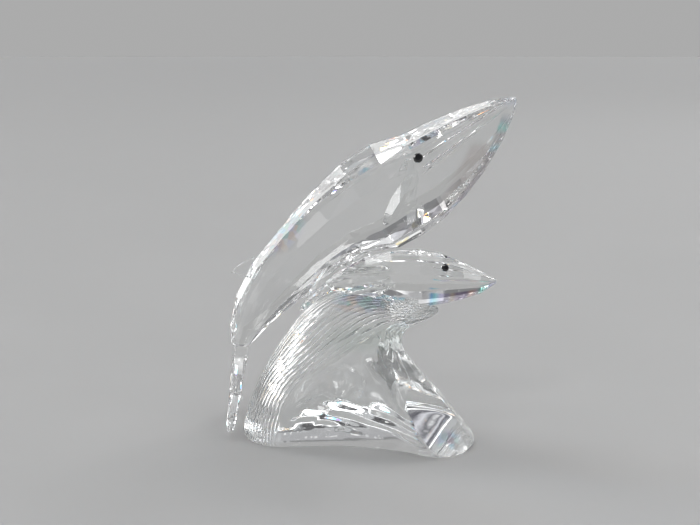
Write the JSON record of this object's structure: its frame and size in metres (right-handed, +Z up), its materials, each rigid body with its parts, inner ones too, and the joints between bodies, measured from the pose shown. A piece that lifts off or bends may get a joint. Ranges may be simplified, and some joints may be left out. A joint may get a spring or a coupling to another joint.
{
  "type": "crystal whale figurine",
  "caption": "Clear cut-crystal figurine of a whale mother and her calf leaping side by side over a ribbed, hollowed breaking wave on a flat foot.",
  "frame": {"origin": "on the flat underside of the wave, near the middle of its footprint, where it rests on the table", "axes": "+X from the tails to the snouts, +Y from the calf's side to the mother's side, +Z up along the figurine's height"},
  "size_m": [0.1263, 0.0621, 0.1484],
  "materials": {
    "clear_crystal": "polished clear crystal, cut facets",
    "black_stone": "glossy black, cut"
  },
  "bodies": {
    "root": {"wave_base": "clear_crystal", "mother_body": "clear_crystal", "mother_flukes": "clear_crystal", "mother_dorsal_fin": "clear_crystal", "mother_pectoral_fin_near": "clear_crystal", "mother_pectoral_fin_far": "clear_crystal", "mother_eye_near": "black_stone", "mother_eye_far": "black_stone", "calf_body": "clear_crystal", "calf_flukes": "clear_crystal", "calf_dorsal_fin": "clear_crystal", "calf_pectoral_fin_near": "clear_crystal", "calf_pectoral_fin_far": "clear_crystal", "calf_eye_near": "black_stone", "calf_eye_far": "black_stone"}
  },
  "joints": []
}
